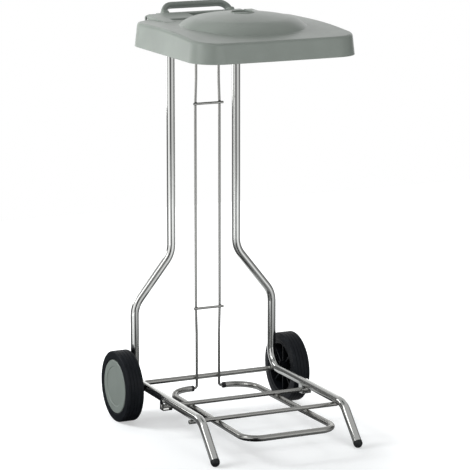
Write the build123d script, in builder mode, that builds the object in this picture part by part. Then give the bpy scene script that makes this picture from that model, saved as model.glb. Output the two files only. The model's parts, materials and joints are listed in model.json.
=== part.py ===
"""Pedal-operated bin bag holder on two wheels and two feet, in millimetres.

+X is to the right seen from the front, the pedal points to -Y, +Z is up and the floor is z = 0.
"""

import os
from math import cos, radians, sin

from build123d import *

os.makedirs("parts", exist_ok=True)

# Side tubes: one bent tube a side, from the head down to the front foot.
tube_d = 20.0
tube_wall = 1.2
tube_top_z = 912.0
upper_half_gap = 82.4
lower_half_gap = 175.0
offset_top_z = 380.3
offset_bottom_z = 264.5
offset_bend_r = 60.0
rear_bend_r = 45.0
front_bend_r = 42.0
run_length = 370.0
run_drop = 2.4
foot_angle = 46.7

# Foot ferrules: a domed head on a stem, worn to a small flat where it stands.
ferrule_d = 20.6
ferrule_collar = 4.0
ferrule_stem = 12.0
ferrule_flat = 0.6

# Wheels on one axle that is welded under the rear bends.
wheel_d = 164.8
wheel_width = 40.0
wheel_side_gap = 6.5
tyre_inner_d = 124.0
tyre_shoulder = 4.0
tread_groove_w = 1.4
tread_groove_depth = 1.2
tread_grooves = 4
rim_wall = 5.0
rim_inset = 1.6
hub_d = 28.0
hub_inset = 8.0
web_wall = 4.0
web_offset = 8.0
wheel_ribs = 8
rib_wall = 3.0
cap_wall = 3.0
cap_dish_d = 92.0
cap_dish_depth = 1.2
cap_skirt_wall = 2.4
cap_skirt_depth = 7.0
axle_d = 12.0
axle_seat_angle = 34.5
axle_washer_d = 24.0
axle_washer_t = 3.0
retainer_d = 22.0
retainer_t = 1.6
axle_end = 1.4

# Cross rods under the two level runs.
rod_d = 10.0
front_rod_back = 323.2
front_rod_overhang = 9.0
pivot_back = 177.5
pivot_rod_overhang = 13.5
strap_wall = 2.0
strap_width = 16.0
strap_web_gap = 1.4

# Pedal: one bent tube, open at the back, hung under the pivot rod.
pedal_tube_d = 14.0
pedal_tube_wall = 1.2
pedal_front = 468.0
pedal_front_half = 111.0
pedal_rear_half = 105.0
pedal_front_r = 40.0
pedal_rear_r = 60.0
pedal_end_x = 43.5
pedal_stop_gap = 0.3
plug_head = 7.0
plug_stem = 5.0
plug_stem_play = 0.6

# Lift wires with their two spacers and the push block on top.
wire_d = 6.0
wire_back = 21.5
wire_half_top = 28.3
wire_half_mid = 30.3
wire_half_low = 28.5
wire_kink_r = 300.0
wire_foot_r = 7.0
wire_foot_insert = 4.0
spacer_d = 6.0
spacer_overhang = 4.0
upper_spacer_z = 729.0
lower_spacer_z = 250.0
spacer_run = 60.0
block_half = 34.0
block_plate = 6.5
block_boss_d = 11.0
block_boss_depth = 20.0
block_reach = 24.0

# Hinge between the head and the lid.
hinge_back = 10.0
hinge_rise = 12.0
hinge_pin_d = 5.0
pin_cap_d = 11.0
pin_cap_t = 1.4
pin_cap_sink = 3.4
pin_cap_play = 0.6
lug_gap = 3.0
lug_width = 27.0
lug_r = 11.0
lug_nose_r = 3.0
lug_nose_back = 92.0
lug_nose_rise = 2.0
lug_bevel = 9.0

# Head: hollow moulding over the tube tops.
head_wall = 3.0
head_half = 106.0
head_rear = 30.0
head_front = 48.5
head_rear_rise = 10.5
head_front_rise = 6.0
head_front_drop = 18.0
head_depth = 44.0
head_chin_back = 16.0
head_round = 4.0
notch_half = 36.0
notch_back = 4.2
socket_wall = 3.5

# Push handle behind the head: a flattened bar that leans back.
handle_w = 13.0
handle_t = 15.0
handle_edge_r = 4.5
handle_half = 82.0
handle_back = 50.0
handle_z = 947.5
handle_seat_back = 25.9584
handle_seat_drop = 0.5416
handle_corner_r = 24.0
handle_socket_depth = 12.0
handle_socket_wall = 4.0

# Bag ring under the lid, carried by two saddles and clips.
ring_d = 8.0
ring_side_gap = 31.5
ring_front_gap = 39.0
ring_rear = 45.0
ring_drop = 36.0
clip_width = 26.0
clip_x = 80.0
clip_depth = 16.0
clip_wall = 6.0
clip_corner_gap = 12.0

# Lid: drafted skirt, falling top, round dome with a dimple.
lid_width = 393.0
lid_length = 404.0
lid_rear = 13.0
lid_rim_drop = 49.7
lid_corner_r = 62.0
lid_bow = 4.0
lid_draft = 6.5
lid_wall = 3.0
lid_edge_r = 7.0
lid_top_rear = ((0.0, 52.2), (125.0, 54.7))
lid_top_front = ((139.0, 53.2), (79.0, 49.4), (44.0, 46.8), (0.0, 43.8))
dome_back = 208.0
dome_top_h = 83.7
dome_crown_r = 520.0
dome_crown_half = 106.0
dome_foot_half = 151.0
dome_foot_h = 42.7
dome_blend_r = 3.0
dimple_d = 50.0
dimple_depth = 2.6
dimple_rim_r = 1.6
tongue_half = 30.0
tongue_wall = 5.0
nose_r = 4.0
nose_arm = 17.0
nose_drop = 2.0
return_h = 18.0
lid_gap = 1.5

# Clearances shared by all fits.
run_fit = 0.05
rest_gap = 0.3

# Levels and planes that follow from the sizes above.
tube_r = tube_d / 2
wheel_r = wheel_d / 2
pedal_r = pedal_tube_d / 2
rod_r = rod_d / 2
wire_r = wire_d / 2
pin_r = hinge_pin_d / 2
bore_r = tube_r - tube_wall
seat_r = rear_bend_r + tube_r + axle_d / 2
axle_back = rear_bend_r - seat_r * sin(radians(axle_seat_angle))
tube_y = (pedal_front + pedal_r + axle_back - wheel_r) / 2
axle_y = tube_y - axle_back
axle_z = wheel_r
bend_drop = run_drop * rear_bend_r / run_length
run_rear_z = axle_z + seat_r * cos(radians(axle_seat_angle)) - rear_bend_r + bend_drop
run_front_z = run_rear_z - run_drop
front_rod_y = tube_y - front_rod_back
front_rod_z = run_rear_z - run_drop * front_rod_back / run_length - tube_r - rod_r
pedal_z = front_rod_z - rod_r - pedal_stop_gap - pedal_r
pivot_y = tube_y - pivot_back
pivot_z = pedal_z + pedal_r + rod_r
wire_y = tube_y - wire_back
hinge_y = tube_y + hinge_back
hinge_z = tube_top_z + hinge_rise
lug_in = head_half + lug_gap
lug_out = lug_in + lug_width
handle_run = handle_back - handle_seat_back
handle_rise = handle_z - hinge_z + handle_seat_drop
handle_leg = (handle_run**2 + handle_rise**2) ** 0.5
nose_y = hinge_y - nose_arm
nose_z = hinge_z - nose_drop
block_top_z = nose_z - nose_r - rest_gap
wheel_in = lower_half_gap + tube_r + wheel_side_gap
wheel_out = wheel_in + wheel_width
lid_rim_z = hinge_z - lid_rim_drop
ring_z = hinge_z - ring_drop
ring_half = lid_width / 2 - ring_side_gap
ring_front = lid_rear + lid_length - ring_front_gap
ring_corner_r = ring_half - clip_x - clip_width / 2 - clip_corner_gap

# The tube's path runs down the upright, out to the wide base, forward and down to the foot.
slope = radians(foot_angle)
dome_centre_z = ferrule_d / 2 - ferrule_flat
foot_end_z = dome_centre_z + ferrule_collar * sin(slope)
foot_length = (run_front_z - foot_end_z) / sin(slope)
foot_end_y = tube_y - run_length - foot_length * cos(slope)

for side, hand in ((-1, "left"), (1, "right")):
    with BuildPart() as side_tube:
        with BuildLine() as tube_path:
            FilletPolyline(
                (side * upper_half_gap, tube_y, tube_top_z),
                (side * upper_half_gap, tube_y, offset_top_z),
                (side * lower_half_gap, tube_y, offset_bottom_z),
                (side * lower_half_gap, tube_y, run_rear_z),
                (side * lower_half_gap, tube_y - run_length, run_front_z),
                (side * lower_half_gap, foot_end_y, foot_end_z),
                radius=[offset_bend_r, offset_bend_r, rear_bend_r, front_bend_r],
            )
        with BuildSketch(Plane(origin=tube_path.line @ 0, z_dir=tube_path.line % 0)):
            Circle(tube_r)
            Circle(bore_r, mode=Mode.SUBTRACT)
        sweep(path=tube_path.line)
    side_tube.part.label = "side_tube_" + hand
    export_step(side_tube.part, "parts/side_tube_" + hand + ".step")

    foot_point = Vector(side * lower_half_gap, foot_end_y, foot_end_z)
    foot_plane = Plane(origin=foot_point, x_dir=(1, 0, 0), z_dir=(0, sin(slope), -cos(slope)))
    with BuildPart() as ferrule:
        with BuildSketch(foot_plane):
            with BuildLine():
                Polyline(
                    (0, ferrule_collar + ferrule_d / 2),
                    (0, -ferrule_stem),
                    (bore_r - run_fit, -ferrule_stem),
                    (bore_r - run_fit, 0),
                    (ferrule_d / 2, 0),
                    (ferrule_d / 2, ferrule_collar),
                )
                RadiusArc((ferrule_d / 2, ferrule_collar), (0, ferrule_collar + ferrule_d / 2), -ferrule_d / 2)
            make_face()
        revolve(axis=Axis(foot_point, foot_plane.y_dir))
        split(bisect_by=Plane.XY, keep=Keep.TOP)
    ferrule.part.label = "foot_ferrule_" + hand
    export_step(ferrule.part, "parts/foot_ferrule_" + hand + ".step")

# Axle under the rear bends, and the front rod under the runs.
axle_tip = wheel_out - cap_wall - axle_end
with BuildPart() as axle:
    with BuildSketch(Plane.YZ.offset(-axle_tip)):
        with Locations((axle_y, axle_z)):
            Circle(axle_d / 2)
    extrude(amount=2 * axle_tip)
    chamfer(axle.edges().filter_by(GeomType.CIRCLE), length=0.8)
axle.part.label = "axle"
export_step(axle.part, "parts/axle.step")

front_rod_tip = lower_half_gap + front_rod_overhang
with BuildPart() as front_rod:
    with BuildSketch(Plane.YZ.offset(-front_rod_tip)):
        with Locations((front_rod_y, front_rod_z)):
            Circle(rod_r)
    extrude(amount=2 * front_rod_tip)
    chamfer(front_rod.edges().filter_by(GeomType.CIRCLE), length=0.8)
front_rod.part.label = "front_rod"
export_step(front_rod.part, "parts/front_rod.step")

# Pivot rod, welded across the top of the pedal tube and free to turn in the straps.
pivot_tip = lower_half_gap + pivot_rod_overhang
with BuildPart() as pivot_rod:
    with BuildSketch(Plane.YZ.offset(-pivot_tip)):
        with Locations((pivot_y, pivot_z)):
            Circle(rod_r)
    extrude(amount=2 * pivot_tip)
    chamfer(pivot_rod.edges().filter_by(GeomType.CIRCLE), length=0.8)
pivot_rod.part.label = "pivot_rod"
export_step(pivot_rod.part, "parts/pivot_rod.step")

# Straps: a U of flat steel whose ears lie against both flanks of the run.
run_at_pivot = run_rear_z - run_drop * pivot_back / run_length
strap_floor = pivot_z - rod_r - strap_web_gap
for side, hand in ((-1, "left"), (1, "right")):
    with BuildPart() as strap:
        with BuildSketch(Plane.XZ.offset(-pivot_y)):
            with Locations((side * lower_half_gap, strap_floor - strap_wall)):
                Rectangle(
                    tube_d + 2 * strap_wall,
                    run_at_pivot - strap_floor + strap_wall,
                    align=(Align.CENTER, Align.MIN),
                )
            with Locations((side * lower_half_gap, strap_floor)):
                Rectangle(
                    tube_d,
                    run_at_pivot - strap_floor + tube_d,
                    align=(Align.CENTER, Align.MIN),
                    mode=Mode.SUBTRACT,
                )
        extrude(amount=strap_width / 2, both=True)
        low_edges = strap.edges().filter_by(Axis.Y).group_by(Axis.Z)[0]
        fillet(low_edges, radius=strap_wall * 0.9)
        with BuildSketch(Plane.YZ):
            with Locations((pivot_y, pivot_z)):
                Circle(rod_r + run_fit)
        extrude(amount=side * (pivot_tip + strap_width), mode=Mode.SUBTRACT)
        top_edges = strap.edges().filter_by(Axis.X).group_by(Axis.Z)[-1]
        chamfer(top_edges, length=strap_width / 5)
    strap.part.label = "pivot_strap_" + hand
    export_step(strap.part, "parts/pivot_strap_" + hand + ".step")

# Pedal tube: from one in-turned end round the front bar to the other.
with BuildPart() as pedal_tube:
    with BuildLine() as pedal_path:
        FilletPolyline(
            (-pedal_end_x, wire_y, pedal_z),
            (-pedal_rear_half, wire_y, pedal_z),
            (-pedal_front_half, tube_y - pedal_front, pedal_z),
            (pedal_front_half, tube_y - pedal_front, pedal_z),
            (pedal_rear_half, wire_y, pedal_z),
            (pedal_end_x, wire_y, pedal_z),
            radius=[pedal_rear_r, pedal_front_r, pedal_front_r, pedal_rear_r],
        )
    with BuildSketch(Plane(origin=pedal_path.line @ 0, z_dir=pedal_path.line % 0)):
        Circle(pedal_r)
        Circle(pedal_r - pedal_tube_wall, mode=Mode.SUBTRACT)
    sweep(path=pedal_path.line)
pedal_tube.part.label = "pedal_tube"
export_step(pedal_tube.part, "parts/pedal_tube.step")

plug_bore_r = pedal_r - pedal_tube_wall - plug_stem_play
plug_tip = pedal_end_x - plug_head
wire_foot_tip = pedal_end_x + wire_foot_insert
for side, hand in ((-1, "left"), (1, "right")):
    with BuildPart() as plug:
        with BuildSketch(Plane.YZ.offset(side * plug_tip)):
            with Locations((wire_y, pedal_z)):
                Circle(pedal_r)
        extrude(amount=side * plug_head)
        with BuildSketch(Plane.YZ.offset(side * pedal_end_x)):
            with Locations((wire_y, pedal_z)):
                Circle(plug_bore_r)
        extrude(amount=side * plug_stem)
        fillet(plug.edges().filter_by(GeomType.CIRCLE).sort_by(Axis.X)[0 if side > 0 else -1], radius=1.5)
        with BuildSketch(Plane.YZ.offset(side * plug_tip)):
            with Locations((wire_y, pedal_z)):
                Circle(wire_r + run_fit)
        extrude(amount=side * (plug_head + plug_stem), mode=Mode.SUBTRACT)
    plug.part.label = "pedal_plug_" + hand
    export_step(plug.part, "parts/pedal_plug_" + hand + ".step")

# Lift wires: slightly spread between the spacers, turned outward at the foot into the plugs.
wire_top_z = block_top_z - block_plate + wire_r
for side, hand in ((-1, "left"), (1, "right")):
    with BuildPart() as lift_wire:
        with BuildLine() as wire_path:
            FilletPolyline(
                (side * wire_half_top, wire_y, wire_top_z),
                (side * wire_half_top, wire_y, upper_spacer_z + spacer_run),
                (side * wire_half_mid, wire_y, upper_spacer_z),
                (side * wire_half_mid, wire_y, lower_spacer_z),
                (side * wire_half_low, wire_y, lower_spacer_z - spacer_run),
                (side * wire_half_low, wire_y, pedal_z),
                (side * wire_foot_tip, wire_y, pedal_z),
                radius=[wire_kink_r, wire_kink_r, wire_kink_r, wire_kink_r, wire_foot_r],
            )
        with BuildSketch(Plane(origin=wire_path.line @ 0, z_dir=wire_path.line % 0)):
            Circle(wire_r)
        sweep(path=wire_path.line)
    lift_wire.part.label = "lift_wire_" + hand
    export_step(lift_wire.part, "parts/lift_wire_" + hand + ".step")

spacer_y = wire_y - wire_r - spacer_d / 2
spacer_tip = wire_half_mid + wire_r + spacer_overhang
for spacer_z, place in ((upper_spacer_z, "upper"), (lower_spacer_z, "lower")):
    with BuildPart() as spacer:
        with BuildSketch(Plane.YZ.offset(-spacer_tip)):
            with Locations((spacer_y, spacer_z)):
                Circle(spacer_d / 2)
        extrude(amount=2 * spacer_tip)
        fillet(spacer.edges().filter_by(GeomType.CIRCLE), radius=1.0)
    spacer.part.label = "spacer_" + place
    export_step(spacer.part, "parts/spacer_" + place + ".step")

# Push block: a plate with two sockets for the wires, under the lid's nose.
with BuildPart() as push_block:
    with BuildSketch(Plane.XY.offset(block_top_z - block_plate)):
        with Locations((0, wire_y - block_boss_d / 2)):
            Rectangle(2 * block_half, block_boss_d / 2 + block_reach, align=(Align.CENTER, Align.MIN))
    extrude(amount=block_plate)
    fillet(push_block.edges().filter_by(Axis.Z), radius=3.0)
    with BuildSketch(Plane.XY.offset(block_top_z - block_boss_depth)):
        with Locations((-wire_half_top, wire_y), (wire_half_top, wire_y)):
            Circle(block_boss_d / 2)
    extrude(amount=block_boss_depth)
    with BuildSketch(Plane.YZ):
        with Locations((wire_y, block_top_z - block_plate)):
            Rectangle(web_wall, block_boss_depth / 2, align=(Align.CENTER, Align.MAX))
    extrude(amount=wire_half_top, both=True)
    with BuildSketch(Plane.XY.offset(block_top_z - block_boss_depth)):
        with Locations((-wire_half_top, wire_y), (wire_half_top, wire_y)):
            Circle(wire_r + run_fit)
    extrude(amount=wire_top_z - block_top_z + block_boss_depth, mode=Mode.SUBTRACT)
push_block.part.label = "push_block"
export_step(push_block.part, "parts/push_block.step")

# Wheels: ribbed core, grooved tyre and a dished cap.
rim_r = tyre_inner_d / 2
wheel_plane = Plane(origin=(0, axle_y, axle_z), x_dir=(1, 0, 0), z_dir=(0, -1, 0))
wheel_axis = Axis((0, axle_y, axle_z), (1, 0, 0))
tread_flat = wheel_width - 2 * tyre_shoulder
web_in = wheel_out - cap_wall - web_offset - web_wall
hub_out = wheel_out - hub_inset
for side, hand in ((-1, "left"), (1, "right")):
    with BuildPart() as tyre:
        with BuildSketch(wheel_plane) as tyre_section:
            with Locations((side * (wheel_in + wheel_width / 2), rim_r)):
                Rectangle(wheel_width, wheel_r - rim_r, align=(Align.CENTER, Align.MIN))
            fillet(tyre_section.vertices().group_by(Axis.Z)[-1], radius=tyre_shoulder)
            with Locations((side * (wheel_in + wheel_width / 2), wheel_r)):
                with GridLocations(tread_flat / tread_grooves, 0, tread_grooves, 1):
                    Rectangle(tread_groove_w, 2 * tread_groove_depth, mode=Mode.SUBTRACT)
        revolve(axis=wheel_axis)
    tyre.part.label = "tyre_" + hand
    export_step(tyre.part, "parts/tyre_" + hand + ".step")

    with BuildPart() as wheel_core:
        with BuildSketch(wheel_plane):
            with BuildLine():
                Polyline(
                    (side * (wheel_in + rim_inset), rim_r),
                    (side * (wheel_out - cap_wall), rim_r),
                    (side * (wheel_out - cap_wall), rim_r - rim_wall),
                    (side * (web_in + web_wall), rim_r - rim_wall - rib_wall),
                    (side * (web_in + web_wall), hub_d / 2),
                    (side * hub_out, hub_d / 2),
                    (side * hub_out, axle_d / 2 + run_fit),
                    (side * (wheel_in + rest_gap), axle_d / 2 + run_fit),
                    (side * (wheel_in + rest_gap), hub_d / 2),
                    (side * web_in, hub_d / 2 + rib_wall),
                    (side * (web_in - rib_wall), rim_r - rim_wall),
                    (side * (wheel_in + rim_inset), rim_r - rim_wall),
                    close=True,
                )
            make_face()
        revolve(axis=wheel_axis)
        with BuildSketch(Plane.YZ.offset(side * web_in)):
            with Locations((axle_y, axle_z)):
                with PolarLocations((hub_d / 2 + rim_r - rim_wall) / 2, wheel_ribs):
                    Rectangle(rim_r - rim_wall - hub_d / 2 + 2, rib_wall)
        extrude(amount=-side * wheel_width * 0.42)
    wheel_core.part.label = "wheel_core_" + hand
    export_step(wheel_core.part, "parts/wheel_core_" + hand + ".step")

    with BuildPart() as hub_cap:
        with BuildSketch(wheel_plane):
            with BuildLine():
                skirt_r = rim_r - rim_wall - run_fit
                Polyline(
                    (side * (wheel_out - cap_dish_depth), 0),
                    (side * (wheel_out - cap_dish_depth), cap_dish_d / 2 - cap_dish_depth),
                    (side * wheel_out, cap_dish_d / 2),
                    (side * wheel_out, rim_r - run_fit - cap_dish_depth),
                    (side * (wheel_out - cap_dish_depth), rim_r - run_fit),
                    (side * (wheel_out - cap_wall), rim_r - run_fit),
                    (side * (wheel_out - cap_wall), skirt_r),
                    (side * (wheel_out - cap_wall - cap_skirt_depth), skirt_r - rib_wall),
                    (side * (wheel_out - cap_wall - cap_skirt_depth), skirt_r - rib_wall - cap_skirt_wall),
                    (side * (wheel_out - cap_wall), skirt_r - rib_wall - cap_skirt_wall),
                    (side * (wheel_out - cap_wall), 0),
                    close=True,
                )
            make_face()
        revolve(axis=wheel_axis)
    hub_cap.part.label = "hub_cap_" + hand
    export_step(hub_cap.part, "parts/hub_cap_" + hand + ".step")

    with BuildPart() as axle_washer:
        with BuildSketch(Plane.YZ.offset(side * (wheel_in - rest_gap))):
            with Locations((axle_y, axle_z)):
                Circle(axle_washer_d / 2)
                Circle(axle_d / 2 + run_fit, mode=Mode.SUBTRACT)
        extrude(amount=-side * axle_washer_t)
    axle_washer.part.label = "axle_washer_" + hand
    export_step(axle_washer.part, "parts/axle_washer_" + hand + ".step")

    with BuildPart() as retainer:
        with BuildSketch(Plane.YZ.offset(side * (hub_out + rest_gap))):
            with Locations((axle_y, axle_z)):
                Circle(retainer_d / 2)
                Circle(axle_d / 2 + run_fit, mode=Mode.SUBTRACT)
        extrude(amount=side * retainer_t)
        chamfer(retainer.edges().filter_by(GeomType.CIRCLE).sort_by(SortBy.RADIUS)[-1], length=0.5)
    retainer.part.label = "axle_retainer_" + hand
    export_step(retainer.part, "parts/axle_retainer_" + hand + ".step")

# Head: a hollow moulding with tube sockets, handle sockets and ring saddles.
head_top_z = hinge_z + head_rear_rise
head_bottom_z = hinge_z - head_depth
saddle_top_z = hinge_z - head_front_drop - lid_gap - 1
handle_seat = Vector(0, tube_y + handle_seat_back, hinge_z - handle_seat_drop)
handle_plane = Plane(origin=handle_seat, x_dir=(1, 0, 0), z_dir=(0, handle_run, handle_rise))
with BuildPart() as head:
    with BuildSketch(Plane.YZ.offset(-head_half)) as head_section:
        with BuildLine():
            Polyline(
                (tube_y + head_rear, head_bottom_z),
                (tube_y + head_rear, head_top_z),
                (tube_y + head_rear / 2, head_top_z),
                (tube_y - head_front, hinge_z + head_front_rise),
                (tube_y - head_front, hinge_z - head_front_drop),
                (tube_y - head_chin_back, head_bottom_z),
                close=True,
            )
        make_face()
        fillet(head_section.vertices().group_by(Axis.Z)[-1], radius=head_round)
    extrude(amount=2 * head_half)
    end_faces = head.faces().filter_by(Axis.X).group_by(Axis.X)
    fillet(end_faces[0].edges() + end_faces[-1].edges(), radius=head_round / 2)
    for side in (-1, 1):
        with BuildSketch(Plane.YZ.offset(side * (notch_half + head_wall))):
            with BuildLine():
                Polyline(
                    (tube_y + head_rear - head_wall, head_bottom_z),
                    (tube_y + head_rear - head_wall, head_top_z - 2 * head_wall),
                    (tube_y + head_rear / 2, head_top_z - 2 * head_wall),
                    (tube_y - head_front + head_wall, hinge_z + head_front_rise - head_wall),
                    (tube_y - head_front + head_wall, hinge_z - head_front_drop + head_wall / 2),
                    (tube_y - head_chin_back + head_wall, head_bottom_z),
                    close=True,
                )
            make_face()
        extrude(amount=side * (head_half - notch_half - 2 * head_wall), mode=Mode.SUBTRACT)
    with BuildSketch(Plane.XY.offset(head_bottom_z)):
        with Locations((0, tube_y - head_front - lid_gap)):
            Rectangle(2 * notch_half, head_front + lid_gap + notch_back, align=(Align.CENTER, Align.MIN))
    extrude(amount=head_depth + head_rear, mode=Mode.SUBTRACT)
    with BuildSketch(Plane.XY.offset(head_bottom_z)):
        with Locations((0, hinge_y + pin_r + head_wall)):
            Rectangle(
                2 * notch_half,
                tube_y + head_rear - head_wall - hinge_y - pin_r - head_wall,
                align=(Align.CENTER, Align.MIN),
            )
    extrude(amount=head_depth, mode=Mode.SUBTRACT)
    with BuildSketch(Plane.XY.offset(head_bottom_z)):
        with Locations((-upper_half_gap, tube_y), (upper_half_gap, tube_y)):
            Circle(tube_r + socket_wall)
    extrude(amount=head_depth + head_front_rise)
    with BuildSketch(Plane.XY.offset(head_bottom_z)):
        with Locations((-upper_half_gap, tube_y), (upper_half_gap, tube_y)):
            Circle(tube_r + run_fit)
    extrude(amount=tube_top_z - head_bottom_z, mode=Mode.SUBTRACT)
    with BuildSketch(handle_plane.offset(-head_wall)):
        with Locations((-handle_half, 0), (handle_half, 0)):
            RectangleRounded(
                handle_w + 2 * handle_socket_wall,
                handle_t + 2 * handle_socket_wall,
                handle_edge_r + handle_socket_wall,
            )
    extrude(amount=head_wall + handle_socket_depth)
    with BuildSketch(handle_plane):
        with Locations((-handle_half, 0), (handle_half, 0)):
            RectangleRounded(handle_w + 2 * run_fit, handle_t + 2 * run_fit, handle_edge_r + run_fit)
    extrude(amount=handle_leg, mode=Mode.SUBTRACT)
    with BuildSketch(Plane.XY.offset(ring_z)):
        with Locations((-clip_x, tube_y - ring_rear), (clip_x, tube_y - ring_rear)):
            Rectangle(clip_width, clip_depth)
    extrude(amount=saddle_top_z - ring_z)
    with BuildSketch(Plane.YZ.offset(-lug_in)):
        with Locations((hinge_y, hinge_z)):
            Circle(pin_r + run_fit)
    extrude(amount=2 * lug_in, mode=Mode.SUBTRACT)
    with BuildSketch(Plane.YZ.offset(-clip_x - clip_width)):
        with Locations((tube_y - ring_rear, ring_z)):
            Circle(ring_d / 2 + run_fit)
    extrude(amount=2 * (clip_x + clip_width), mode=Mode.SUBTRACT)
head.part.label = "head"
export_step(head.part, "parts/head.step")

# Push handle: a bent bar whose legs stand in the leaning sockets.
with BuildPart() as handle:
    with BuildLine() as handle_path:
        FilletPolyline(
            (-handle_half, handle_seat.Y, handle_seat.Z),
            (-handle_half, tube_y + handle_back, handle_z),
            (handle_half, tube_y + handle_back, handle_z),
            (handle_half, handle_seat.Y, handle_seat.Z),
            radius=handle_corner_r,
        )
    with BuildSketch(handle_plane):
        with Locations((-handle_half, 0)):
            RectangleRounded(handle_w, handle_t, handle_edge_r)
    sweep(path=handle_path.line)
handle.part.label = "handle"
export_step(handle.part, "parts/handle.step")

# Bag ring: the bag's mouth folds over this closed rod.
with BuildPart() as bag_ring:
    with BuildLine() as ring_path:
        FilletPolyline(
            (ring_half, tube_y - ring_rear, ring_z),
            (ring_half, tube_y - ring_front, ring_z),
            (-ring_half, tube_y - ring_front, ring_z),
            (-ring_half, tube_y - ring_rear, ring_z),
            radius=ring_corner_r,
            close=True,
        )
    with BuildSketch(Plane(origin=ring_path.line @ 0, z_dir=ring_path.line % 0)):
        Circle(ring_d / 2)
    sweep(path=ring_path.line)
bag_ring.part.label = "bag_ring"
export_step(bag_ring.part, "parts/bag_ring.step")

for side, hand in ((-1, "left"), (1, "right")):
    with BuildPart() as ring_clip:
        with BuildSketch(Plane.YZ.offset(side * (clip_x - clip_width / 2))):
            with Locations((tube_y - ring_rear, ring_z)):
                Rectangle(clip_depth, ring_d / 2 + clip_wall, align=(Align.CENTER, Align.MAX))
                Circle(ring_d / 2 + run_fit, mode=Mode.SUBTRACT)
        extrude(amount=side * clip_width)
        fillet(ring_clip.edges().filter_by(Axis.X).group_by(Axis.Z)[0], radius=clip_wall / 2)
    ring_clip.part.label = "ring_clip_" + hand
    export_step(ring_clip.part, "parts/ring_clip_" + hand + ".step")

# Hinge pin with a push cap at each end, sunk into the lid's lugs.
pin_cap_x = lug_out - pin_cap_sink + rest_gap
pin_tip = lug_out - pin_cap_play
with BuildPart() as hinge_pin:
    with BuildSketch(Plane.YZ.offset(-pin_tip)):
        with Locations((hinge_y, hinge_z)):
            Circle(pin_r)
    extrude(amount=2 * pin_tip)
    chamfer(hinge_pin.edges().filter_by(GeomType.CIRCLE), length=0.5)
hinge_pin.part.label = "hinge_pin"
export_step(hinge_pin.part, "parts/hinge_pin.step")

for side, hand in ((-1, "left"), (1, "right")):
    with BuildPart() as pin_cap:
        with BuildSketch(Plane.YZ.offset(side * pin_cap_x)):
            with Locations((hinge_y, hinge_z)):
                Circle(pin_cap_d / 2)
                Circle(pin_r + run_fit, mode=Mode.SUBTRACT)
        extrude(amount=side * pin_cap_t)
        chamfer(pin_cap.edges().filter_by(GeomType.CIRCLE).sort_by(SortBy.RADIUS)[-1], length=0.4)
    pin_cap.part.label = "pin_cap_" + hand
    export_step(pin_cap.part, "parts/pin_cap_" + hand + ".step")

# Lid: the outer form and the hollow follow one recipe, the hollow one wall smaller.
lid_back_y = tube_y - lid_rear
lid_front_y = lid_back_y - lid_length
lid_top = [(lid_back_y - back, lid_rim_z + height) for back, height in lid_top_rear]
lid_top += [(lid_front_y + ahead, lid_rim_z + height) for ahead, height in lid_top_front]
lid_skirt_h = max(z for y, z in lid_top) - lid_rim_z + lid_edge_r
dome_y = tube_y - dome_back
dome_axis = Axis((0, dome_y, 0), (0, 0, 1))
dome_plane = Plane(origin=(0, dome_y, lid_rim_z), x_dir=(1, 0, 0), z_dir=(0, -1, 0))
cutout_y = tube_y - head_front - lid_gap
forms = []
for inset in (0, lid_wall):
    with BuildPart() as form:
        with BuildSketch(Plane.XY.offset(lid_rim_z)) as outline:
            with BuildLine():
                Polyline(
                    (-lid_width / 2, lid_front_y + lid_bow),
                    (-lid_width / 2, lid_back_y),
                    (lid_width / 2, lid_back_y),
                    (lid_width / 2, lid_front_y + lid_bow),
                )
                ThreePointArc(
                    (lid_width / 2, lid_front_y + lid_bow),
                    (0, lid_front_y),
                    (-lid_width / 2, lid_front_y + lid_bow),
                )
            make_face()
            fillet(outline.vertices(), radius=lid_corner_r)
            offset(amount=-inset)
        extrude(amount=lid_skirt_h, taper=lid_draft)
        with BuildSketch(Plane.YZ.offset(-lid_width)):
            with BuildLine():
                fall = [(y, z - inset) for y, z in lid_top]
                Spline(*fall)
                Polyline(
                    fall[0],
                    (lid_back_y, hinge_z + lid_width),
                    (lid_front_y, hinge_z + lid_width),
                    fall[-1],
                )
            make_face()
        extrude(amount=2 * lid_width, mode=Mode.SUBTRACT)
        top_face = form.faces().filter_by(GeomType.PLANE, reverse=True).sort_by(Axis.Z)[-1]
        fillet(top_face.edges(), radius=lid_edge_r - inset)
        with BuildSketch(dome_plane):
            with BuildLine():
                crown = ThreePointArc(
                    (0, dome_top_h - inset),
                    (dome_crown_half / 2, dome_top_h - inset - dome_crown_half**2 / 8 / dome_crown_r),
                    (dome_crown_half, dome_top_h - inset - dome_crown_half**2 / 2 / dome_crown_r),
                )
                shoulder = TangentArc(
                    crown @ 1,
                    (dome_foot_half - inset, dome_foot_h - inset),
                    tangent=crown % 1,
                )
                Polyline(
                    shoulder @ 1,
                    (dome_foot_half - inset, lid_edge_r),
                    (0, lid_edge_r),
                    (0, dome_top_h - inset),
                )
            make_face()
        revolve(axis=dome_axis)
        dome_foot = form.edges().sort_by(SortBy.LENGTH)[-1]
        fillet(dome_foot, radius=dome_blend_r + inset)
        with BuildSketch(Plane.XY.offset(lid_rim_z + dome_top_h - inset - dimple_depth)):
            with Locations((0, dome_y)):
                Circle(dimple_d / 2 + inset)
        extrude(amount=lid_edge_r, mode=Mode.SUBTRACT)
    forms.append(form.part)

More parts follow.
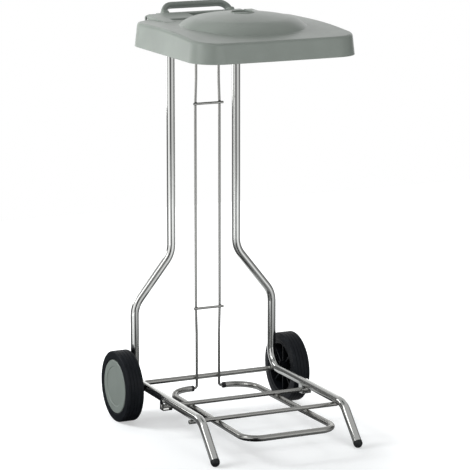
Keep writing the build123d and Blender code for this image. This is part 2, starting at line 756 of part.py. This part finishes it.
wing_end_y = lid_back_y - lid_edge_r - lug_r
rim_z = lid_rim_z + dome_top_h - dimple_d**2 / 8 / dome_crown_r
bevel_plane = Plane.XZ.offset(-hinge_y - lug_r)
with BuildPart() as lid:
    add(forms[0])
    add(forms[1], mode=Mode.SUBTRACT)
    with BuildSketch(Plane.XY.offset(lid_rim_z - lid_wall)):
        with Locations((0, cutout_y)):
            Rectangle(2 * lug_in, lid_back_y - cutout_y + lid_wall, align=(Align.CENTER, Align.MIN))
    extrude(amount=lid_skirt_h + lid_width / 2, mode=Mode.SUBTRACT)
    with BuildSketch(Plane.XY.offset(hinge_z - return_h)):
        with Locations((0, cutout_y)):
            Rectangle(2 * (lug_in + lid_wall), lid_wall, align=(Align.CENTER, Align.MAX))
        for side in (-1, 1):
            with Locations((side * (lug_in + lid_wall / 2), cutout_y)):
                Rectangle(lid_wall, wing_end_y - cutout_y, align=(Align.CENTER, Align.MIN))
    extrude(amount=return_h + head_front_rise - lid_wall / 2)
    for side in (-1, 1):
        with BuildSketch(Plane.YZ.offset(side * lug_in)):
            with BuildLine():
                CenterArc((hinge_y, hinge_z), lug_r, 0, 360)
                CenterArc((tube_y - lug_nose_back, hinge_z + lug_nose_rise), lug_nose_r, 0, 360)
            make_hull()
        extrude(amount=side * lug_width)
        with BuildSketch(bevel_plane):
            with BuildLine():
                Polyline(
                    (side * (lug_out - lug_bevel), hinge_z + lug_r),
                    (side * (lug_out + 1), hinge_z + lug_r),
                    (side * (lug_out + 1), hinge_z + lug_r - (lug_bevel + 1) / 2),
                    close=True,
                )
            make_face()
        extrude(amount=2 * lug_r + lug_nose_back / 2, mode=Mode.SUBTRACT)
        with BuildSketch(Plane.YZ.offset(side * lug_out)):
            with Locations((hinge_y, hinge_z)):
                Circle(pin_cap_d / 2 + pin_cap_play)
        extrude(amount=-side * pin_cap_sink, mode=Mode.SUBTRACT)
    with BuildSketch(dome_plane):
        with Locations((dimple_d / 2 + dimple_rim_r / 2, rim_z - lid_rim_z)):
            Circle(dimple_rim_r)
    revolve(axis=dome_axis)
    with BuildSketch(Plane.YZ.offset(-tongue_half)):
        with Locations((cutout_y - lid_wall, hinge_z + head_front_rise - lid_wall / 2)):
            Rectangle(nose_y - cutout_y + lid_wall, tongue_wall, align=(Align.MIN, Align.MAX))
        with Locations((nose_y, nose_z)):
            Circle(nose_r)
    extrude(amount=2 * tongue_half)
    with BuildSketch(Plane.YZ.offset(-lug_out)):
        with Locations((hinge_y, hinge_z)):
            Circle(pin_r + run_fit)
    extrude(amount=2 * lug_out, mode=Mode.SUBTRACT)
lid.part.label = "lid"
export_step(lid.part, "parts/lid.step")
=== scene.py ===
import json
from math import pi

import bpy
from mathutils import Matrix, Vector


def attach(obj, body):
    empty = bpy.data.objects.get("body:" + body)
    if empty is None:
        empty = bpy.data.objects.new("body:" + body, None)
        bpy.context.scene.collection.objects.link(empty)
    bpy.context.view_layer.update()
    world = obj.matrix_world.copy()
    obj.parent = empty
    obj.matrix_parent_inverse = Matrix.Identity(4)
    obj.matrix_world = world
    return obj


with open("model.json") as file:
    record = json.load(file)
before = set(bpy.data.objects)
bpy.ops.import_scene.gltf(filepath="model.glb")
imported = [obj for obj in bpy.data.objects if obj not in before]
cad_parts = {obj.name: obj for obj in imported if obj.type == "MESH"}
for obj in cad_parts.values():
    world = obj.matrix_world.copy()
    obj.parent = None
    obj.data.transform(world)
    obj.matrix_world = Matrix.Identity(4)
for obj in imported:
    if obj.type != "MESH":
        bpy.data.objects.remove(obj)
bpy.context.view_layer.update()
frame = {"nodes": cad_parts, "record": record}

scene = bpy.context.scene
scene.view_settings.view_transform = "Standard"
nodes = frame["nodes"]


# Helpers for node trees

noise_middle = (0.3, 0.7)


def new_material(name):
    """A node material with its tree, its shader and its object space, which is in metres."""
    mat = bpy.data.materials.new(name)
    mat.use_nodes = True
    tree = mat.node_tree
    space = tree.nodes.new("ShaderNodeTexCoord").outputs["Object"]
    return mat, tree, tree.nodes["Principled BSDF"], space


def noise(tree, space, scale, detail, rough=0.5):
    """Noise whose features are about 1/scale metres across."""
    node = tree.nodes.new("ShaderNodeTexNoise")
    node.inputs["Scale"].default_value = scale
    node.inputs["Detail"].default_value = detail
    node.inputs["Roughness"].default_value = rough
    tree.links.new(space, node.inputs["Vector"])
    return node.outputs["Fac"]


def ramp(tree, fac, stops):
    """A colour ramp over a value, from (position, colour) stops."""
    node = tree.nodes.new("ShaderNodeValToRGB")
    elements = node.color_ramp.elements
    while len(elements) < len(stops):
        elements.new(0.5)
    for element, (position, colour) in zip(elements, stops):
        element.position = position
        element.color = (*colour, 1)
    tree.links.new(fac, node.inputs["Fac"])
    return node.outputs["Color"]


def map_range(tree, value, old, new, smooth=False):
    """Maps a value from one (low, high) pair to another and holds it at the ends."""
    node = tree.nodes.new("ShaderNodeMapRange")
    node.interpolation_type = "SMOOTHSTEP" if smooth else "LINEAR"
    node.inputs["From Min"].default_value, node.inputs["From Max"].default_value = old
    node.inputs["To Min"].default_value, node.inputs["To Max"].default_value = new
    tree.links.new(value, node.inputs["Value"])
    return node.outputs["Result"]


def combine(tree, operation, first, second):
    """One value from two by a math operation."""
    node = tree.nodes.new("ShaderNodeMath")
    node.operation = operation
    tree.links.new(first, node.inputs[0])
    tree.links.new(second, node.inputs[1])
    return node.outputs["Value"]


def bump(tree, shader, height, strength, distance):
    """Fine relief of a height value, distance in metres."""
    node = tree.nodes.new("ShaderNodeBump")
    node.inputs["Strength"].default_value = strength
    node.inputs["Distance"].default_value = distance
    tree.links.new(height, node.inputs["Height"])
    tree.links.new(node.outputs["Normal"], shader.inputs["Normal"])


def shade(colour, factor):
    """A colour made lighter or darker by a factor."""
    return tuple(channel * factor for channel in colour)


# Finishes

def moulded(name, colour, rough, specular=0.5, cloud=0.06):
    """Moulded plastic: a cloudy tone, a nearly even gloss and a fine grain."""
    mat, tree, shader, space = new_material(name)
    low, high = noise_middle
    clouds = [(low, shade(colour, 1 - cloud)), (high, shade(colour, 1 + cloud))]
    tone = ramp(tree, noise(tree, space, scale=14.0, detail=3.0), clouds)
    tree.links.new(tone, shader.inputs["Base Color"])
    patchy = noise(tree, space, scale=60.0, detail=3.0)
    gloss = map_range(tree, patchy, noise_middle, (rough - 0.015, rough + 0.02))
    tree.links.new(gloss, shader.inputs["Roughness"])
    shader.inputs["Specular IOR Level"].default_value = specular
    bump(tree, shader, noise(tree, space, scale=1400.0, detail=2.0), strength=0.05, distance=0.00004)
    return mat


def drawn_steel(name, colour, rough):
    """Drawn tube or wire: satin metal with faint clouds and an even polish."""
    mat, tree, shader, space = new_material(name)
    shader.inputs["Metallic"].default_value = 1.0
    low, high = noise_middle
    clouds = [(low, shade(colour, 0.96)), (high, shade(colour, 1.03))]
    tone = ramp(tree, noise(tree, space, scale=9.0, detail=2.0), clouds)
    tree.links.new(tone, shader.inputs["Base Color"])
    patchy = noise(tree, space, scale=40.0, detail=2.0, rough=0.4)
    polish = map_range(tree, patchy, noise_middle, (rough - 0.02, rough + 0.03))
    tree.links.new(polish, shader.inputs["Roughness"])
    return mat


def tread_rubber():
    """Black rubber: dull, with light dust worked into its surface."""
    mat, tree, shader, space = new_material("tyre_rubber")
    dust = noise(tree, space, scale=70.0, detail=5.0, rough=0.6)
    tone = ramp(tree, dust, [(0.35, (0.004, 0.005, 0.007)), (0.75, (0.010, 0.012, 0.015))])
    tree.links.new(tone, shader.inputs["Base Color"])
    tree.links.new(map_range(tree, dust, noise_middle, (0.46, 0.60)), shader.inputs["Roughness"])
    shader.inputs["Specular IOR Level"].default_value = 0.26
    bump(tree, shader, noise(tree, space, scale=1100.0, detail=3.0), strength=0.4, distance=0.00006)
    return mat


finishes = {
    "bright_steel": drawn_steel("satin_steel", (0.84, 0.85, 0.83), rough=0.09),
    "zinc_steel": drawn_steel("zinc_plate", (0.50, 0.51, 0.52), rough=0.40),
    "grey_plastic": moulded("lid_plastic", (0.217, 0.243, 0.221), rough=0.31),
    "handle_plastic": moulded("grip_plastic", (0.172, 0.194, 0.177), rough=0.38),
    "wheel_plastic": moulded("dark_plastic", (0.006, 0.007, 0.009), rough=0.50, specular=0.2, cloud=0.15),
    "black_plastic": moulded("black_plastic", (0.010, 0.011, 0.012), rough=0.42, cloud=0.15),
    "tyre": tread_rubber(),
}
# A darker copy of the satin steel: the wires' plainer steel, and on the axle, rods and pedal tube also
# painted shade that tones down their bright reflections.
rod_steel_and_shade = drawn_steel("wire_steel_and_shade", (0.52, 0.52, 0.50), rough=0.20)
cap_plastic = moulded("cap_plastic", (0.182, 0.208, 0.191), rough=0.50)
weld_steel = drawn_steel("weld_steel", (0.10, 0.10, 0.10), rough=0.45)

rods = ("axle", "front_rod", "pivot_rod", "pedal_tube")
wires = ("spacer_upper", "spacer_lower", "lift_wire_left", "lift_wire_right")
slots = {part["node"]: part["material_slot"] for part in frame["record"]["subparts"]}
for name, piece in nodes.items():
    finish = finishes[slots[name]]
    # Rods, wires and the pedal tube take the darker steel, which is painted shade on the rods and pedal
    # tube.
    if name in rods + wires:
        finish = rod_steel_and_shade
    if name.startswith("hub_cap"):
        finish = cap_plastic
    piece.data.materials.clear()
    piece.data.materials.append(finish)


# Weld beads where the two spacers cross the lift wires, in metres

bead_size = (0.0046, 0.0036, 0.0042)
crossing_reach = 0.05


def crossing(spacer, wire):
    """The point where a spacer touches a lift wire."""
    corners = [spacer.matrix_world @ Vector(corner) for corner in spacer.bound_box]
    middle = sum(corners, Vector()) / len(corners)
    points = [wire.matrix_world @ vertex.co for vertex in wire.data.vertices]
    near = [point for point in points if abs(point.z - middle.z) < crossing_reach]
    wire_middle = sum(near, Vector()) / len(near)
    return Vector((wire_middle.x, (wire_middle.y + middle.y) / 2, middle.z))


def weld_bead(height, hand):
    """A small dark bead that moves with the lift wires."""
    bpy.ops.mesh.primitive_uv_sphere_add(segments=24, ring_count=12, radius=1)
    bead = bpy.context.object
    bead.name = "weld_bead_" + height + "_" + hand
    bead.scale = bead_size
    bead.location = crossing(nodes["spacer_" + height], nodes["lift_wire_" + hand])
    bead.data.materials.append(weld_steel)
    bpy.ops.object.shade_smooth()
    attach(bead, "lifter")


for height in ("upper", "lower"):
    for hand in ("left", "right"):
        weld_bead(height, hand)


# Surroundings

# What gloss and metal see round the holder, as (turn, brightness): a dark camera side between lit flanks,
# dark flags and a white sweep behind. A full turn is 1, from -X, anticlockwise seen from above.
surroundings = [
    (0.00, 1.00),
    (0.06, 1.00),
    (0.09, 0.70),
    (0.13, 0.55),
    (0.145, 0.03),
    (0.205, 0.03),
    (0.23, 0.50),
    (0.28, 0.55),
    (0.31, 0.72),
    (0.36, 0.72),
    (0.40, 0.30),
    (0.47, 0.22),
    (0.50, 0.08),
    (0.57, 0.10),
    (0.60, 1.00),
    (0.77, 1.00),
    (0.80, 0.10),
    (0.95, 0.10),
    (0.98, 1.00),
]


def compass(tree, direction):
    """The brightness of the surroundings in a direction from the holder."""
    node = tree.nodes.new("ShaderNodeTexGradient")
    node.gradient_type = "RADIAL"
    tree.links.new(direction, node.inputs["Vector"])
    return ramp(tree, node.outputs["Fac"], [(turn, (level,) * 3) for turn, level in surroundings])


# Floor: pale paper whose painted glow shows it white to the camera away from the holder's shadow, and
# whitens the lamps' shadows there too, in metres

floor_side = 5.0
floor_drop = 0.0002
floor_colour = (0.62, 0.64, 0.65)
# The painted glow is lowest round shadow_middle and full beyond shadow_edge.
shadow_middle = (-0.16, -0.16, 0.0)
shadow_edge = (0.30, 0.75)
shadow_glow = 0.42
mirror_edge = (0.3, 1.8)
mirror_level = 0.30


def paper():
    """The floor's finish. Its glow is painted light, for camera and gloss only, so it lights nothing
    else.
    """
    mat, tree, shader, space = new_material("floor_paper")
    shader.inputs["Roughness"].default_value = 0.9
    shader.inputs["Specular IOR Level"].default_value = 0.1
    shader.inputs["Emission Color"].default_value = (1, 1, 1, 1)
    low, high = noise_middle
    tone = ramp(
        tree,
        noise(tree, space, scale=1.5, detail=2.0),
        [(low, shade(floor_colour, 0.99)), (high, floor_colour)],
    )
    away = tree.nodes.new("ShaderNodeVectorMath")
    away.operation = "DISTANCE"
    away.inputs[1].default_value = shadow_middle
    tree.links.new(space, away.inputs[0])
    distance = away.outputs["Value"]
    path = tree.nodes.new("ShaderNodeLightPath")
    camera_ray = path.outputs["Is Camera Ray"]
    glossy_ray = path.outputs["Is Glossy Ray"]

    # Gloss sees a dimmer floor under the holder, painted shade that brightens outward to the
    # surroundings.
    openness = map_range(tree, distance, mirror_edge, (mirror_level, 1.0))
    mirrored = combine(tree, "MULTIPLY", compass(tree, space), openness)
    dimmed = tree.nodes.new("ShaderNodeMix")
    dimmed.data_type = "RGBA"
    dimmed.blend_type = "MULTIPLY"
    tree.links.new(glossy_ray, dimmed.inputs["Factor"])
    tree.links.new(tone, dimmed.inputs["A"])
    tree.links.new(mirrored, dimmed.inputs["B"])
    tree.links.new(dimmed.outputs["Result"], shader.inputs["Base Color"])

    # Close to the holder the painted glow drops, so the lamps carry more of the tone and their shadow
    # shows; further out the glow paints the floor white over the lamps' shadows.
    seen = combine(tree, "MAXIMUM", camera_ray, combine(tree, "MULTIPLY", glossy_ray, mirrored))
    glow = map_range(tree, distance, shadow_edge, (shadow_glow, 1.0), smooth=True)
    tree.links.new(combine(tree, "MULTIPLY", seen, glow), shader.inputs["Emission Strength"])
    return mat


bpy.ops.mesh.primitive_plane_add(size=floor_side, location=(0, 0, -floor_drop))
floor = bpy.context.object
floor.name = "floor"
floor.data.materials.append(paper())


# World: white to the camera, the surroundings near the horizon and an even room overhead

horizon_edge = (0.30, 0.60)
room_light = 0.17
room_in_gloss = 0.42

world = bpy.data.worlds.new("studio")
scene.world = world
world.use_nodes = True
sky = world.node_tree
background = sky.nodes["Background"]
background.inputs["Color"].default_value = (1, 1, 1, 1)
direction = sky.nodes.new("ShaderNodeTexCoord").outputs["Generated"]
split = sky.nodes.new("ShaderNodeSeparateXYZ")
sky.links.new(direction, split.inputs["Vector"])
path = sky.nodes.new("ShaderNodeLightPath")
rise = map_range(sky, split.outputs["Z"], horizon_edge, (0.0, 1.0), smooth=True)
overhead = map_range(sky, path.outputs["Is Glossy Ray"], (0.0, 1.0), (room_light, room_in_gloss))
room = sky.nodes.new("ShaderNodeMix")
room.data_type = "FLOAT"
sky.links.new(rise, room.inputs["Factor"])
sky.links.new(compass(sky, direction), room.inputs["A"])
sky.links.new(overhead, room.inputs["B"])
strength = combine(sky, "MAXIMUM", room.outputs["Result"], path.outputs["Is Camera Ray"])
sky.links.new(strength, background.inputs["Strength"])


# Lamps and camera, in metres

def soft_box(name, place, target, size, power, glossy):
    """A rectangular lamp that faces its target. Metal mirrors it only where glossy is set."""
    data = bpy.data.lights.new(name, "AREA")
    data.shape = "RECTANGLE"
    data.size, data.size_y = size
    data.energy = power
    lamp = bpy.data.objects.new(name, data)
    lamp.location = place
    aim = Vector(target) - Vector(place)
    lamp.rotation_euler = aim.to_track_quat("-Z", "Y").to_euler()
    lamp.visible_glossy = glossy
    scene.collection.objects.link(lamp)


soft_box("key", (-1.6, 0.8, 1.35), (0, 0, 0.8), size=(0.7, 0.9), power=34, glossy=False)
soft_box("glint", (-1.0, 1.15, 0.74), (-0.2, -0.3, 0.9), size=(0.6, 0.45), power=1.8, glossy=True)
soft_box("side", (-1.5, -0.15, 1.3), (0, -0.15, 0.1), size=(0.5, 0.8), power=2.6, glossy=True)
soft_box("top", (0.3, 0.6, 2.6), (0, 0, 0.7), size=(1.6, 1.2), power=14, glossy=False)
soft_box("fill", (-0.3, -3.6, 1.2), (0, 0, 0.5), size=(2.4, 2.0), power=66, glossy=False)

camera_place = (-2.5041, -5.2986, 1.6601)
camera_tilt_down = 0.203
camera_turn_right = 0.4392
camera_sensor_mm = 36.0
camera_lens_mm = 204.05

camera_data = bpy.data.cameras.new("camera")
camera_data.sensor_width = camera_sensor_mm
camera_data.lens = camera_lens_mm
camera = bpy.data.objects.new("camera", camera_data)
camera.location = camera_place
camera.rotation_euler = (pi / 2 - camera_tilt_down, 0, -camera_turn_right)
scene.collection.objects.link(camera)
scene.camera = camera
